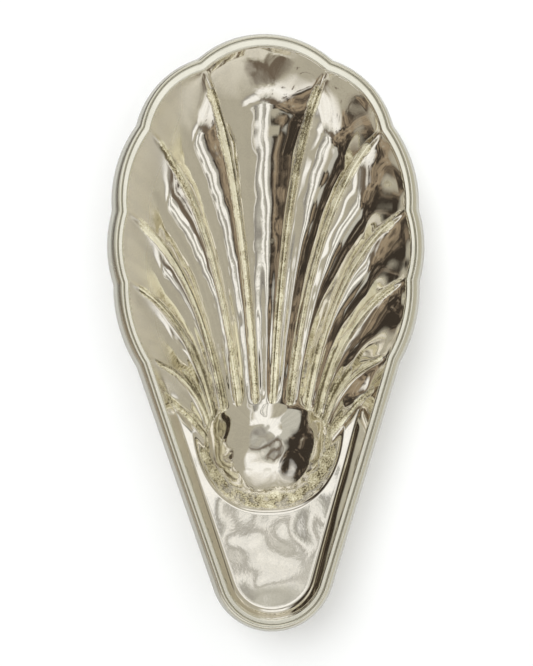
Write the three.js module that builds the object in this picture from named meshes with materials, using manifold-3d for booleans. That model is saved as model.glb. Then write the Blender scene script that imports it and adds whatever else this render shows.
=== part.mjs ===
// A shell-shaped silver dish: a pressed sheet bowl with a thumb tongue, a rounded border soldered
// round its edge, and three ball feet soldered underneath.
// Units are millimetres. +Z is up, +Y points to the middle lobe of the fan, and the origin is on the
// table, under the middle of the dish's length and width.
import * as THREE from "three";
import { mergeVertices } from "three/addons/utils/BufferGeometryUtils.js";
import Module from "manifold-3d";

// Outline of the border, seen from above. The right half is given, and the left half mirrors it.
const FAN_HALF_WIDTH = 49.1; // from the middle plane to the outermost notch
const FAN_TOP_Y = 95; // top of the middle lobe
const NOTCH_INSETS = [27.5, 8, 0, 0.1, 6.9]; // in from the outermost notch, from the top down
const NOTCH_DROPS = [8.2, 29.1, 56.1, 79.2, 105]; // down from the top of the middle lobe
const SIDE_LOBE_RISES = [3.7, 2.5, 1.7, 1.9]; // how far each lobe stands out of the chord of its notches
const TONGUE_TIP_Y = -95;
const TONGUE_END_RADIUS = 20;
const SIDE_RIB_Y = -20; // the last rib meets the straight side here

// Border: a rounded inner bead and a wide outer roll over the edge of the sheet.
const BORDER_END_WIDTH = 4.5; // at the middle lobe and round the tongue
const BORDER_SIDE_WIDTH = 5.1; // at the widest lobes
const BORDER_WIDENS_FROM = 30; // distance from the middle plane where it starts to widen
const BORDER_CROWN = 1.2; // top of the roll above the sheet
const BORDER_CREST = 0.4; // from the valley beside the bead to the top of the roll
const BORDER_SKIRT = 2.6; // lower edge of the roll below the top of the sheet
const BEAD_WIDTH = 1.5;
const BEAD_WIDTH_TOP = 2.6; // at the top of the middle lobe
const BEAD_WIDENS_FROM_Y = 30;
const BEAD_HEIGHT = 0.9;
const BEAD_POWER = 4; // 2 is round, and more has a flatter top
const VALLEY_HEIGHT = 0.4; // between the bead and the roll

// Pressed sheet.
const SHEET = 1;
const FLANGE_WIDTH = 1.8; // flat edge of the sheet that the border sits on
const BOWL_DEPTH = 26; // from the flange down to the lowest point of the well
const TONGUE_DROP = 5; // from the flange down to the middle of the tongue
const TONGUE_MIDDLE_Y = -72;
const TONGUE_SLOPE = 0.105; // the tongue climbs this much towards its tip
const TONGUE_FILLET = 12; // width of the curve from the tongue up to the flange, along its sides
const TONGUE_FILLET_TIP = 6; // and round its tip
const TONGUE_FILLET_POWER = 3;
const TONGUE_TIP_LENGTH = 16; // over this length the curve narrows
const CREST_ROUNDING = 5; // softens the edge between the well's back and the tongue
const WELL_HALF_WIDTH = 26; // where the well's wall would stand upright
const WELL_HALF_LENGTH = 36;
const WELL_OVER_FLANGE = 1; // the upright wall would reach this far above the flange
const WELL_POWER = 2.4; // plan of the well: 2 is an ellipse, and more is squarer
const WELL_UPRIGHT = 0.97; // past this share of the half width the wall carries on straight
const WELL_LOWEST_Y = -22;
const FLOOR_RISE = 15; // how far a flute's floor climbs by its end
const FLOOR_POWER = 1.1;
const WALL_RUN = 16; // length over which a flute's end wall comes down
const WALL_POWER = 1.7;
const FAN_TO_BACK = 16; // length of side over which the fan turns into the well's back

// The flutes run into the well along a rounded line, and the ribs end on it.
const RIB_ENDS_CENTRE_Y = -35;
const RIB_ENDS_HALF_WIDTH = 20;
const RIB_ENDS_HALF_LENGTH = 11;
const RIB_ENDS_POWER = 2.6; // 2 is an ellipse, and more is squarer

// Flutes and the narrow ribs between them. The ribs get wider and higher towards the sides.
const RIB_TIP_X = [2.9, 8.9, 14.3, 17.6, 19.2]; // where the ribs end at the well, from the middle out
const RIB_HEIGHT = 1.2;
const OUTER_RIB_HEIGHT = 2.2; // at the well's sides
const SIDE_RIB_SHARE = 0.7; // the last rib at each side is lower
const RIB_NOSE = 2.5; // length over which a rib's rounded end rises
const RIB_RUNOUT = 4; // length over which a rib fades out at the edge
const RIB_HALF_WIDTH_TIP = 1;
const OUTER_RIB_HALF_WIDTH = 2.4;
const OUTER_RIB_POWER = 4; // how late towards the sides the ribs widen
const RIB_HALF_WIDTH_RIM = 0.8;
const FLUTE_RADIUS = 14; // round of a flute's hollow
const FLUTE_DEEPEST = 5;
const FLUTE_RUNOUT = 18; // length over which a flute's hollow ends in its wall
const SIDE_FLANK = 6; // reach of the last rib's flank towards the back wall
const RIB_SWEEP_X = 0.25; // how much of its way out and up a rib has gone where its curve is pulled
const RIB_SWEEP_Y = 0.77;
const UNDER_RIB_SHARE = 0.2; // the pressing shows less of a narrow rib underneath

// Ball feet.
const FOOT_RADIUS = 5;
const FOOT_FLAT_RADIUS = 2.2; // filed flat where the foot stands
const FOOT_NECK_RADIUS = 2.8; // where the neck leaves the ball
const FOOT_FLARE = 0.14; // how much the neck widens on its way up to the bowl
const FEET_LIFT = 8; // from the table to the underside of the well
const FRONT_FOOT_FLUTE = 3; // counted from the tongue
const FRONT_FOOT_ALONG = 0.4; // share of the flute's way from the well to the edge
const SOLDER_GAP = 0.3; // room for solder between a piece and its seat

// How finely the solids are cut into faces.
const LOBE_CUTS = [0, 0.07, 0.15, 0.28, 0.5, 0.72, 0.85, 0.93]; // shares of a lobe, closer at its ribs
const SIDE_CUTS = 8;
const TONGUE_CUTS = 6;
const WELL_ROWS = [0.25, 0.5, 0.75]; // shares of the way from the middle of the well to the ribs' ends
const FAN_ROWS = [0, 0.012, 0.03, 0.1, 0.22, 0.36, 0.5, 0.63, 0.74, 0.83, 0.9, 0.95, 0.98, 1];
const BACK_ROWS = [0, 0.22, 0.45, 0.65, 0.82, 0.93, 1.04]; // shares of the way up the well's back
const TONGUE_ROWS = [0.12, 0.32, 0.54, 0.72, 0.84, 0.93, 1]; // shares of the way from there to the edge
const LONGEST_BACK_SHARE = 0.5; // leaves room for the tongue's rows where the back meets the edge
const CREST_HALVINGS = 24; // steps of the search for the well's crest
const BEAD_CUTS = 4;
const ROLL_CUTS = 4;
const FOOT_CUTS = 20;
const BALL_CUTS = 8;

const FLOOR_Z = FEET_LIFT + SHEET;
const FLANGE_Z = FLOOR_Z + BOWL_DEPTH;
const TONGUE_RISE = BOWL_DEPTH - TONGUE_DROP;
const LOWEST_NOTCH_Y = FAN_TOP_Y - NOTCH_DROPS.at(-1);
const WELL_HEIGHT = BOWL_DEPTH + WELL_OVER_FLANGE;
const CREST_SHARE = Math.sqrt(1 - Math.max(0, 1 - TONGUE_RISE / WELL_HEIGHT) ** 2);

const clamp01 = (x) => Math.min(1, Math.max(0, x));
const smoothstep = (x) => clamp01(x) ** 2 * (3 - 2 * clamp01(x));
const mix = (a, b, share) => a + (b - a) * share;
const flat = (x, y) => new THREE.Vector2(x, y);

// Outline

// The point at a share of the arc from one end of a chord to the other, standing out on its right side.
function arcPoint(from, to, rise, share) {
  const chord = to.clone().sub(from);
  const half = chord.length() / 2;
  const radius = (half ** 2 + rise ** 2) / (2 * rise);
  const out = flat(chord.y, -chord.x).normalize();
  const centre = from.clone().lerp(to, 0.5).addScaledVector(out, rise - radius);
  const turn = 2 * Math.asin(half / radius);
  return out.multiplyScalar(radius).rotateAround(flat(0, 0), (share - 0.5) * turn).add(centre);
}

// Where a line from a point outside touches a circle, on the circle's right side.
function tangentPoint(outside, centre, radius) {
  const away = outside.clone().sub(centre);
  const angle = Math.acos(radius / away.length());
  return away.setLength(radius).rotateAround(flat(0, 0), -angle).add(centre);
}

// Columns round the right half, from the tongue's tip to the middle lobe. Each has its place on the
// outline, the pair of ribs that it lies between, and its share of the way from the lower to the upper.
function rightColumns() {
  const notches = NOTCH_INSETS.map((inset, k) => flat(FAN_HALF_WIDTH - inset, FAN_TOP_Y - NOTCH_DROPS[k]));
  const lowest = notches.at(-1);
  const endCentre = flat(0, TONGUE_TIP_Y + TONGUE_END_RADIUS);
  const touch = tangentPoint(lowest, endCentre, TONGUE_END_RADIUS);
  const sideRib = lowest.clone().lerp(touch, (lowest.y - SIDE_RIB_Y) / (lowest.y - touch.y));
  const tip = flat(0, TONGUE_TIP_Y);
  const endTurn = touch.clone().sub(endCentre).angle() - 1.5 * Math.PI;
  const endLength = endTurn * TONGUE_END_RADIUS;
  const sideLength = touch.distanceTo(sideRib);
  const columns = [];
  for (let i = 0; i < TONGUE_CUTS; i++) {
    const share = i / TONGUE_CUTS;
    const place = tip.clone().rotateAround(endCentre, endTurn * share);
    columns.push({ place, lobe: -1, share: (share * endLength) / (endLength + sideLength) });
  }
  for (let i = 0; i < SIDE_CUTS; i++) {
    const share = i / SIDE_CUTS;
    const place = touch.clone().lerp(sideRib, share);
    columns.push({ place, lobe: -1, share: (endLength + share * sideLength) / (endLength + sideLength) });
  }
  for (const share of LOBE_CUTS) {
    columns.push({ place: sideRib.clone().lerp(lowest, share), lobe: 0, share });
  }
  for (let k = notches.length - 1; k > 0; k--) {
    for (const share of LOBE_CUTS) {
      const place = arcPoint(notches[k], notches[k - 1], SIDE_LOBE_RISES[k - 1], share);
      columns.push({ place, lobe: notches.length - k, share });
    }
  }
  const mirrored = notches[0].clone().setX(-notches[0].x);
  for (const share of LOBE_CUTS.filter((cut) => cut <= 0.5)) {
    const place = arcPoint(notches[0], mirrored, NOTCH_DROPS[0], share);
    columns.push({ place, lobe: notches.length, share });
  }
  return columns;
}

// The closed ring of columns, anticlockwise from the tongue's tip.
function allColumns() {
  const right = rightColumns();
  const left = right.slice(1, -1).reverse().map((column) => ({
    ...column,
    place: column.place.clone().setX(-column.place.x),
    mirrored: true,
  }));
  return [...right, ...left];
}

// Gives each column its outward direction, long enough at a notch to mitre the border there.
function addDirections(columns) {
  const count = columns.length;
  const widest = Math.max(...columns.map((column) => column.place.x));
  columns.forEach((column, i) => {
    const before = column.place.clone().sub(columns[(i + count - 1) % count].place).normalize();
    const after = columns[(i + 1) % count].place.clone().sub(column.place).normalize();
    const along = before.clone().add(after).normalize();
    column.out = flat(along.y, -along.x).divideScalar(along.dot(before));
    column.border = mix(
      BORDER_END_WIDTH,
      BORDER_SIDE_WIDTH,
      smoothstep((Math.abs(column.place.x) - BORDER_WIDENS_FROM) / (widest - BORDER_WIDENS_FROM)),
    );
    const toTop = smoothstep((column.place.y - BEAD_WIDENS_FROM_Y) / (FAN_TOP_Y - BEAD_WIDENS_FROM_Y));
    column.bead = mix(BEAD_WIDTH, BEAD_WIDTH_TOP, toTop);
    column.edge = column.place.clone().addScaledVector(column.out, -column.border);
  });
}

// Bowl

// The point of the ribs' end line at a distance from the middle plane, on its fan side.
function fanEnd(x) {
  const across = Math.min(1, Math.abs(x) / RIB_ENDS_HALF_WIDTH);
  const along = (1 - across ** RIB_ENDS_POWER) ** (1 / RIB_ENDS_POWER);
  return flat(x, RIB_ENDS_CENTRE_Y + RIB_ENDS_HALF_LENGTH * along);
}

// The point of the same line, carried on round the well's back, at an angle from its side.
function backEnd(angle) {
  const x = RIB_ENDS_HALF_WIDTH * Math.max(0, Math.cos(angle)) ** (2 / RIB_ENDS_POWER);
  return flat(x, RIB_ENDS_CENTRE_Y - RIB_ENDS_HALF_LENGTH * Math.sin(angle) ** (2 / RIB_ENDS_POWER));
}

// Where a column starts at the well, on the right half.
function startPoint({ lobe, share }) {
  if (lobe < 0) return backEnd((1 - share) * (Math.PI / 2));
  const ends = [RIB_ENDS_HALF_WIDTH, ...RIB_TIP_X.toReversed(), -RIB_TIP_X[0]];
  return fanEnd(mix(ends[lobe], ends[lobe + 1], share));
}

// How far out of the well a place is: 0 at its lowest point and 1 where its wall would be upright.
function wellShare({ x, y }) {
  const across = Math.abs(x) / WELL_HALF_WIDTH;
  const along = Math.abs(y - WELL_LOWEST_Y) / WELL_HALF_LENGTH;
  return (across ** WELL_POWER + along ** WELL_POWER) ** (1 / WELL_POWER);
}

// The height of the well's round form above its lowest point.
function wellHeight(place) {
  const away = wellShare(place);
  const round = Math.min(away, WELL_UPRIGHT);
  const level = Math.sqrt(1 - round ** 2);
  return WELL_HEIGHT * (1 - level + ((away - round) * round) / level);
}

// The share of its way where a column that starts inside the well crosses the well's crest.
function crestShare({ start, edge }) {
  let inside = 0;
  let outside = 1;
  for (let i = 0; i < CREST_HALVINGS; i++) {
    const middle = (inside + outside) / 2;
    if (wellShare(start.clone().lerp(edge, middle)) < CREST_SHARE) inside = middle;
    else outside = middle;
  }
  return outside;
}

// Gives each column its start, its length, where it crosses the well's crest, and its share of back.
function addStarts(columns) {
  for (const column of columns) {
    column.start = startPoint(column);
    if (column.mirrored) column.start.x *= -1;
    column.startHeight = wellHeight(column.start);
    column.length = column.start.distanceTo(column.edge);
    column.crest = crestShare(column);
    column.back = column.lobe > 0 ? 0 : smoothstep((LOWEST_NOTCH_Y - column.place.y) / FAN_TO_BACK);
  }
}

// The inner edge round the well's back and the tongue, as lines between neighbouring columns.
function backEdges(columns) {
  return columns.flatMap(({ edge, back }, i) =>
    (back > 0 ? [[edge, columns[(i + 1) % columns.length].edge]] : []));
}

// The least distance from a place to a set of lines.
function gapTo(lines, place) {
  return Math.min(...lines.map(([from, to]) => {
    const along = to.clone().sub(from);
    const share = clamp01(place.clone().sub(from).dot(along) / along.lengthSq());
    return place.distanceTo(along.multiplyScalar(share).add(from));
  }));
}

// The plan of a column at a share of its way from the well to the edge.
function planPoint(column, t) {
  const pull = flat(
    mix(column.start.x, column.edge.x, mix(RIB_SWEEP_X, 0.5, column.back)),
    mix(column.start.y, column.edge.y, mix(RIB_SWEEP_Y, 0.5, column.back)),
  );
  const first = column.start.clone().lerp(pull, t);
  return first.lerp(pull.clone().lerp(column.edge, t), t);
}

// How far a place on a column is from the column's start and from its edge, and its share of the way.
function ways(column, place) {
  const gone = place.distanceTo(column.start);
  const left = place.distanceTo(column.edge);
  return { gone, left, share: gone / (gone + left) };
}

// A flute's floor and end wall. A flute that starts up the side of the well climbs more evenly.
function fanHeight(column, place) {
  const { left, share } = ways(column, place);
  const upWall = clamp01(1 - left / Math.min(WALL_RUN, column.length));
  const wall = (BOWL_DEPTH - FLOOR_RISE) * upWall ** WALL_POWER;
  const climb = (FLOOR_RISE * share ** FLOOR_POWER + wall) / BOWL_DEPTH;
  const evenness = column.startHeight / BOWL_DEPTH;
  return mix(column.startHeight, BOWL_DEPTH, mix(climb, share, evenness));
}

// The well's back, its rounded crest, the tongue and the curve up to the flange.
function backHeight(place) {
  const well = wellHeight(place);
  const tongue = TONGUE_RISE + TONGUE_SLOPE * (TONGUE_MIDDLE_Y - place.y);
  const near = Math.max(0, CREST_ROUNDING - Math.abs(well - tongue)) / CREST_ROUNDING;
  const crested = Math.min(well, tongue) - (near ** 2 * CREST_ROUNDING) / 4;
  const atTip = smoothstep((TONGUE_TIP_Y + TONGUE_TIP_LENGTH - place.y) / TONGUE_TIP_LENGTH);
  const width = mix(TONGUE_FILLET, TONGUE_FILLET_TIP, atTip);
  const fillet = clamp01(1 - gapTo(tongueEdge, place) / width) ** TONGUE_FILLET_POWER;
  return mix(crested, BOWL_DEPTH, fillet);
}

// The bowl without its ribs.
function basePoint(column, t) {
  const place = planPoint(column, t);
  const height = mix(fanHeight(column, place), column.back > 0 ? backHeight(place) : 0, column.back);
  return new THREE.Vector3(place.x, place.y, FLOOR_Z + height);
}

// The direction square to a line of the bowl, up and inwards.
function normalAlong(pointAt, t) {
  const step = 0.004;
  const run = pointAt(Math.min(1, t + step)).sub(pointAt(Math.max(0, t - step)));
  const level = Math.hypot(run.x, run.y);
  return new THREE.Vector3((-run.x * run.z) / level, (-run.y * run.z) / level, level).normalize();
}

// How far the ribs beside a column, with the flanks of their flutes, stand out of the bowl.
function ribRelief(column, t, crownShare) {
  const place = planPoint(column, t);
  const { gone, left, share } = ways(column, place);
  const gaps = column.ribs.map((rib) => place.distanceTo(planPoint(rib, t)));
  const reach = column.lobe < 0 ? SIDE_FLANK : (gaps[0] + gaps[1]) / 2;
  const hollow = Math.min(FLUTE_DEEPEST, reach ** 2 / (2 * FLUTE_RADIUS)) * smoothstep(left / FLUTE_RUNOUT);
  const relief = column.ribs.reduce((sum, rib, i) => {
    const outer = (Math.abs(rib.start.x) / RIB_ENDS_HALF_WIDTH) ** OUTER_RIB_POWER;
    const halfWidth = mix(mix(RIB_HALF_WIDTH_TIP, OUTER_RIB_HALF_WIDTH, outer), RIB_HALF_WIDTH_RIM, share);
    const height = mix(mix(RIB_HEIGHT, OUTER_RIB_HEIGHT, outer), RIB_HEIGHT, share);
    const crown = crownShare * height * Math.exp(-((gaps[i] / halfWidth) ** 2));
    const flank = hollow * Math.max(0, 1 - gaps[i] / reach) ** 2;
    return sum + (rib.lobe === 0 ? SIDE_RIB_SHARE : 1) * (crown + flank);
  }, 0);
  return smoothstep(gone / RIB_NOSE) * smoothstep(left / RIB_RUNOUT) * relief;
}

// A point of the sheet at a depth under the bowl's form, with a share of the narrow ribs.
function sheetPoint(column, t, depth, crownShare) {
  const normal = normalAlong((along) => basePoint(column, along), t);
  return basePoint(column, t).addScaledVector(normal, ribRelief(column, t, crownShare) - depth);
}

// A point of the sheet in the well, between its middle and a column's start.
function wellPoint({ start }, share, depth) {
  const pointAt = (along) => {
    const place = flat(0, RIB_ENDS_CENTRE_Y).lerp(start, along);
    return new THREE.Vector3(place.x, place.y, FLOOR_Z + wellHeight(place));
  };
  return pointAt(share).addScaledVector(normalAlong(pointAt, share), -depth);
}

// Names the columns that carry the ribs beside each column.
function addRibs(columns) {
  const isRib = (column) => column.lobe >= 0 && column.share === 0;
  const count = columns.length;
  const nextRib = (i, step) => {
    let k = i;
    while (!isRib(columns[(k + count) % count])) k += step;
    return columns[(k + count) % count];
  };
  columns.forEach((column, i) => {
    const after = nextRib(isRib(column) ? i + 1 : i, 1);
    column.ribs = column.lobe < 0 ? [column.mirrored ? nextRib(i, -1) : after] : [nextRib(i, -1), after];
  });
}

// The share of its way where each row of faces crosses a column.
function rowShares(column) {
  const reached = Math.min(LONGEST_BACK_SHARE, column.crest * BACK_ROWS.at(-1));
  const inner = BACK_ROWS.map((share) => (reached * share) / BACK_ROWS.at(-1));
  const outer = TONGUE_ROWS.map((share) => mix(reached, 1, share));
  const rows = [...inner, ...outer];
  return FAN_ROWS.map((t, row) => mix(t, rows[row], column.back));
}

// A closed solid between an upper and a lower sheet of rings. The innermost ring of each is one point.
function solidBetween(upper, lower) {
  const positions = [];
  const triangles = [];
  const count = upper.at(-1).length;
  const put = (ring) => ring.map((p) => positions.push(p.x, p.y, p.z) / 3 - 1);
  const join = (inner, outer, flip) => {
    for (let i = 0; i < count; i++) {
      const j = (i + 1) % count;
      const faces = inner.length === 1
        ? [[inner[0], outer[i], outer[j]]]
        : [[inner[i], outer[i], outer[j]], [inner[i], outer[j], inner[j]]];
      for (const [a, b, c] of faces) triangles.push(...(flip ? [a, c, b] : [a, b, c]));
    }
  };
  const upperRings = upper.map(put);
  const lowerRings = lower.map(put);
  for (let r = 1; r < upper.length; r++) join(upperRings[r - 1], upperRings[r], false);
  for (let r = 1; r < lower.length; r++) join(lowerRings[r - 1], lowerRings[r], true);
  join(upperRings.at(-1), lowerRings.at(-1), false);
  const geometry = new THREE.BufferGeometry();
  geometry.setAttribute("position", new THREE.Float32BufferAttribute(positions, 3));
  geometry.setIndex(triangles);
  return geometry;
}

// The rings of one face of the sheet, from the middle of the well to the edge.
function faceRings(columns, depth, crownShare) {
  const middle = flat(0, RIB_ENDS_CENTRE_Y);
  const pole = new THREE.Vector3(middle.x, middle.y, FLOOR_Z + wellHeight(middle) - depth);
  const well = WELL_ROWS.map((share) => columns.map((column) => wellPoint(column, share, depth)));
  const shares = columns.map(rowShares);
  const rows = FAN_ROWS.map((_, row) =>
    columns.map((column, i) => sheetPoint(column, shares[i][row], depth, crownShare)));
  return [[pole], ...well, ...rows];
}

// A level ring beyond the bowl's edge.
function rimRing(columns, beyond, z) {
  return columns.map(({ edge, out }) => {
    const place = edge.clone().addScaledVector(out, beyond);
    return new THREE.Vector3(place.x, place.y, z);
  });
}

// The rings of the sheet's upper and lower faces, out to the flange's edge.
function sheetRings(columns) {
  const cornerShift = 0.65 * SHEET; // the bend's outer corner lies this far beyond its inner one
  const upper = [...faceRings(columns, 0, 1), rimRing(columns, FLANGE_WIDTH, FLANGE_Z)];
  const lower = [
    ...faceRings(columns, SHEET, UNDER_RIB_SHARE).slice(0, -1),
    rimRing(columns, cornerShift, FLANGE_Z - SHEET),
    rimRing(columns, FLANGE_WIDTH, FLANGE_Z - SHEET),
  ];
  return { upper, lower };
}

// Border

// The border's section at a column, as distances beyond the bowl's edge and heights above the flange.
function borderSection({ border, bead }) {
  const crest = bead + BORDER_CREST;
  const seatEnd = FLANGE_WIDTH + SOLDER_GAP;
  const section = [[0, 0]];
  for (let i = 0; i <= BEAD_CUTS; i++) {
    const across = Math.sin(Math.PI * (i / BEAD_CUTS - 0.5));
    const round = Math.sqrt(1 - Math.abs(across) ** BEAD_POWER);
    section.push([(bead * (1 + across)) / 2, mix(VALLEY_HEIGHT, BEAD_HEIGHT, round)]);
  }
  section.push([crest, BORDER_CROWN]);
  for (let i = 1; i <= ROLL_CUTS; i++) {
    const angle = (Math.PI / 2) * (1 - i / ROLL_CUTS);
    const beyond = mix(crest, border, Math.cos(angle));
    section.push([beyond, mix(-BORDER_SKIRT, BORDER_CROWN, Math.sin(angle))]);
  }
  return [...section, [seatEnd, -BORDER_SKIRT], [seatEnd, 0]];
}

// A ring swept round all the columns.
function borderGeometry(columns) {
  const positions = [];
  const triangles = [];
  const sides = borderSection(columns[0]).length;
  for (const column of columns) {
    for (const [beyond, height] of borderSection(column)) {
      const place = column.edge.clone().addScaledVector(column.out, beyond);
      positions.push(place.x, place.y, FLANGE_Z + height);
    }
  }
  columns.forEach((_, i) => {
    const here = i * sides;
    const next = ((i + 1) % columns.length) * sides;
    for (let s = 0; s < sides; s++) {
      const t = (s + 1) % sides;
      triangles.push(here + s, here + t, next + t, here + s, next + t, next + s);
    }
  });
  const geometry = new THREE.BufferGeometry();
  geometry.setAttribute("position", new THREE.Float32BufferAttribute(positions, 3));
  geometry.setIndex(triangles);
  return geometry;
}

// Feet

// A ball with a flat to stand on and a flared neck that reaches up into the bowl.
function footBlank() {
  const lowest = Math.asin(FOOT_FLAT_RADIUS / FOOT_RADIUS);
  const highest = Math.PI - Math.asin(FOOT_NECK_RADIUS / FOOT_RADIUS);
  const centre = FOOT_RADIUS * Math.cos(lowest);
  const profile = [flat(0, 0)];
  for (let i = 0; i <= BALL_CUTS; i++) {
    const angle = mix(lowest, highest, i / BALL_CUTS);
    profile.push(flat(FOOT_RADIUS * Math.sin(angle), centre - FOOT_RADIUS * Math.cos(angle)));
  }
  profile[1].y = 0;
  const widest = FOOT_NECK_RADIUS + FOOT_FLARE * (FLANGE_Z - profile.at(-1).y);
  profile.push(flat(widest, FLANGE_Z), flat(0, FLANGE_Z));
  return new THREE.LatheGeometry(profile, FOOT_CUTS).rotateX(Math.PI / 2);
}

// Solids for cutting.
const wasm = await Module();
wasm.setup();

function toSolid(geometry) {
  const bare = geometry.clone();
  bare.deleteAttribute("normal");
  bare.deleteAttribute("uv");
  const merged = mergeVertices(bare, 1e-4);
  return new wasm.Manifold(new wasm.Mesh({
    numProp: 3,
    vertProperties: merged.attributes.position.array,
    triVerts: new Uint32Array(merged.index.array),
  }));
}

function toGeometry(solid) {
  const { vertProperties, triVerts } = solid.getMesh();
  const geometry = new THREE.BufferGeometry();
  geometry.setAttribute("position", new THREE.BufferAttribute(new Float32Array(vertProperties), 3));
  geometry.setIndex(new THREE.BufferAttribute(new Uint32Array(triVerts), 1));
  return geometry;
}

// A foot under the bowl, with its neck shaped to the bowl's underside.
function footGeometry(place, everythingAbove) {
  const blank = toSolid(footBlank().translate(place.x, place.y, 0));
  return toGeometry(blank.subtract(everythingAbove));
}

// All the room above the sheet's lower face, less the solder gap.
function roomAbove(lower) {
  const down = new THREE.Vector3(0, 0, -SOLDER_GAP);
  const floor = lower.map((ring) => ring.map((point) => point.clone().add(down)));
  const top = floor.map((ring) => ring.map((point) => point.clone().setZ(2 * FLANGE_Z)));
  return toSolid(solidBetween(top, floor));
}

// Assembly

const columns = allColumns();
addDirections(columns);
addStarts(columns);
addRibs(columns);
const tongueEdge = backEdges(columns);
const sheet = sheetRings(columns);
const above = roomAbove(sheet.lower);

const plate = new THREE.MeshStandardMaterial({ color: 0xd9d3c2, roughness: 0.12, metalness: 1 });
const dish = new THREE.Group();

function addPiece(name, geometry) {
  const mesh = new THREE.Mesh(geometry, plate.clone());
  mesh.name = name;
  dish.add(mesh);
}

addPiece("shell_bowl", solidBetween(sheet.upper, sheet.lower));
addPiece("rim_border", borderGeometry(columns));
addPiece("ball_foot_rear", footGeometry(flat(0, WELL_LOWEST_Y), above));
for (const column of columns) {
  if (column.lobe !== FRONT_FOOT_FLUTE || column.share !== 0.5) continue;
  const side = column.mirrored ? "left" : "right";
  addPiece(`ball_foot_${side}`, footGeometry(planPoint(column, FRONT_FOOT_ALONG), above));
}

export default dish;
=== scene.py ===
"""Looks of the shell-shaped silver dish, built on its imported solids."""
import math

import bpy
import numpy as np
from mathutils import Matrix, Vector


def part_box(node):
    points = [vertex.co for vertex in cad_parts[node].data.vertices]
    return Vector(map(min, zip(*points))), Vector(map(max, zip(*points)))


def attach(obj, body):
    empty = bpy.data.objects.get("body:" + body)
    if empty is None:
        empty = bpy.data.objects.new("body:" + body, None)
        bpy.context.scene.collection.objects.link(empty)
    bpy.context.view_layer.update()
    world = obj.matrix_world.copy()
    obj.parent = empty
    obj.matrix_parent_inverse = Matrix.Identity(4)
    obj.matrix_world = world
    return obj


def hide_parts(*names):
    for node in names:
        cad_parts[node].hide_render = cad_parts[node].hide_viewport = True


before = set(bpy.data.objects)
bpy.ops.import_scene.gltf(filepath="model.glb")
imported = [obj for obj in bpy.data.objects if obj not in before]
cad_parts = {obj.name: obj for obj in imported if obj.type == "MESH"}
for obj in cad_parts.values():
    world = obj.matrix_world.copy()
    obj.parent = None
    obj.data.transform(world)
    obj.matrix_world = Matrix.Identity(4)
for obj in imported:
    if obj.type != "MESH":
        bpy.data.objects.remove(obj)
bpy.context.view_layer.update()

# Sizes are in millimetres until a mesh is made.
MM = 0.001
TINY = 1e-9

# Outline of the border, seen from above. The notches are listed from the middle lobe down, each by how far
# it lies inside the fan's half width and below its top.
FAN_HALF_WIDTH = 49.1
FAN_TOP_Y = 95.0
NOTCH_INSETS = (27.5, 8.0, 0.0, 0.1, 6.9)
NOTCH_DROPS = (8.2, 29.1, 56.1, 79.2, 105.0)
SIDE_LOBE_RISES = (3.7, 2.5, 1.7, 1.9)
TONGUE_TIP_Y = -95.0
TONGUE_END_RADIUS = 20.0
SIDE_RIB_Y = -20.0
NOTCH_SOFTNESS_OUTSIDE = 0.55
NOTCH_SOFTNESS_INSIDE = 0.25

# Numbers of the lobes: the tongue, then the flute at its side, then the fan's lobes up to the middle one
TONGUE_LOBE = -1
SIDE_LOBE = 0

# Border
BORDER_END_WIDTH = 4.5
BORDER_SIDE_WIDTH = 5.1
BORDER_WIDENS_FROM_X = 30.0
BORDER_CROWN = 1.2
BORDER_CREST = 0.4
BORDER_SKIRT = 2.6
BEAD_WIDTH = 1.5
BEAD_WIDTH_TOP = 2.6
BEAD_WIDENS_FROM_Y = 30.0
BEAD_HEIGHT = 0.9
BEAD_POWER = 7.0
BEAD_RAGGED = 0.4
BEAD_SEED = 2
SEAT_PLAY = 0.3
VALLEY_HEIGHT = 0.4

# Pressed sheet
SHEET = 1.0
FLANGE_WIDTH = 1.8
UNDER_CORNER = 0.65
BOWL_DEPTH = 26.0
TONGUE_DROP = 5.0
TONGUE_MIDDLE_Y = -72.0
TONGUE_SLOPE = 0.105
TONGUE_FILLET = 3.2
TONGUE_FILLET_POWER = 3.0
CREST_ROUNDING = 5.0
WELL_HALF_WIDTH = 26.0
WELL_HALF_LENGTH = 36.0
WELL_HEIGHT = 27.0
WELL_POWER = 2.4
WELL_UPRIGHT = 0.97
WELL_LOWEST_Y = -22.0
FLOOR_RISE = 15.0
FLOOR_POWER = 1.1
WALL_RUN = 16.0
WALL_POWER = 1.7
FAN_TO_BACK = 16.0
RIB_ENDS_CENTRE_Y = -35.0
RIB_ENDS_HALF_WIDTH = 20.0
RIB_ENDS_HALF_LENGTH = 11.0
RIB_ENDS_POWER = 2.6

# Flutes and ribs
RIB_TIP_X = (2.9, 8.9, 14.3, 17.6, 19.2)
RIB_HEIGHT = 1.2
OUTER_RIB_HEIGHT = 2.2
SIDE_RIB_SHARE = 0.7
RIB_NOSE = 2.5
RIB_RUNOUT = 4.0
FLUTE_RUNOUT = 18.0
RIB_HALF_WIDTH_TIP = 1.0
OUTER_RIB_HALF_WIDTH = 2.4
RIB_HALF_WIDTH_RIM = 0.8
OUTER_RIB_POWER = 4.0
FLUTE_RADIUS = 14.0
FLUTE_DEEPEST = 5.0
SIDE_FLANK = 6.0
RIB_SWEEP_X = 0.25
RIB_SWEEP_Y = 0.77
NO_SWEEP = 0.5
UNDER_RIB_SHARE = 0.2

# Ball feet
FEET = ("rear", "left", "right")
FOOT_RADIUS = 5.0
FOOT_FLAT_RADIUS = 2.2
FOOT_FLAT_SHARE = 0.97
FOOT_NECK_RADIUS = 2.8
FOOT_NECK_ANGLE = 0.1
FOOT_FLARE = 0.14
FEET_LIFT = 8.0

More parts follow.
